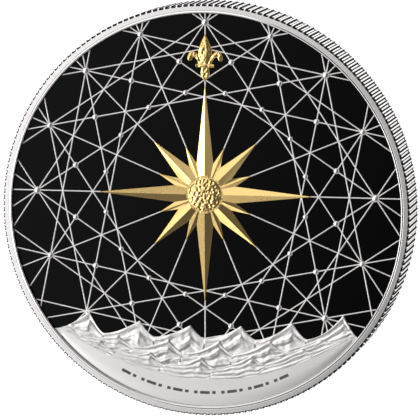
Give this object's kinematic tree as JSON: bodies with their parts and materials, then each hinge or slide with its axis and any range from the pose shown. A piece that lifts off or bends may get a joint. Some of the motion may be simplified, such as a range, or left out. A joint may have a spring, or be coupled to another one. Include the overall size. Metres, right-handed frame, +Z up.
{
  "type": "collector's silver coin",
  "caption": "Thick round silver coin with a reeded edge, raised rims and a black field bearing a gilt compass rose, a net of chart lines and a frosted sea in relief.",
  "frame": {"origin": "centre of the underside, where the reverse rim rests", "axes": "+Z up out of the picture side, +Y towards the top of the picture (the rose's north point), +X to its right"},
  "size_m": [0.04, 0.04, 0.0054],
  "materials": {
    "polished_silver": "struck silver, satin-bright rims and reeds",
    "bright_silver": "fine raised silver lines and beads",
    "frosted_silver": "frosted silver relief",
    "black_field": "smooth black plating with a soft gloss",
    "gilding": "bright gilding over silver",
    "hammered_gilding": "gilding with small hammered dimples"
  },
  "bodies": {
    "root": {"blank": "polished_silver", "black_field": "black_field", "line_net": "bright_silver", "compass_rose": "gilding", "hub_boss": "hammered_gilding", "fleur_de_lis": "hammered_gilding", "sea_ground": "frosted_silver", "sea_middle_row": "frosted_silver", "sea_front_row": "frosted_silver", "reverse_star": "frosted_silver", "reverse_ring": "frosted_silver"}
  },
  "joints": []
}
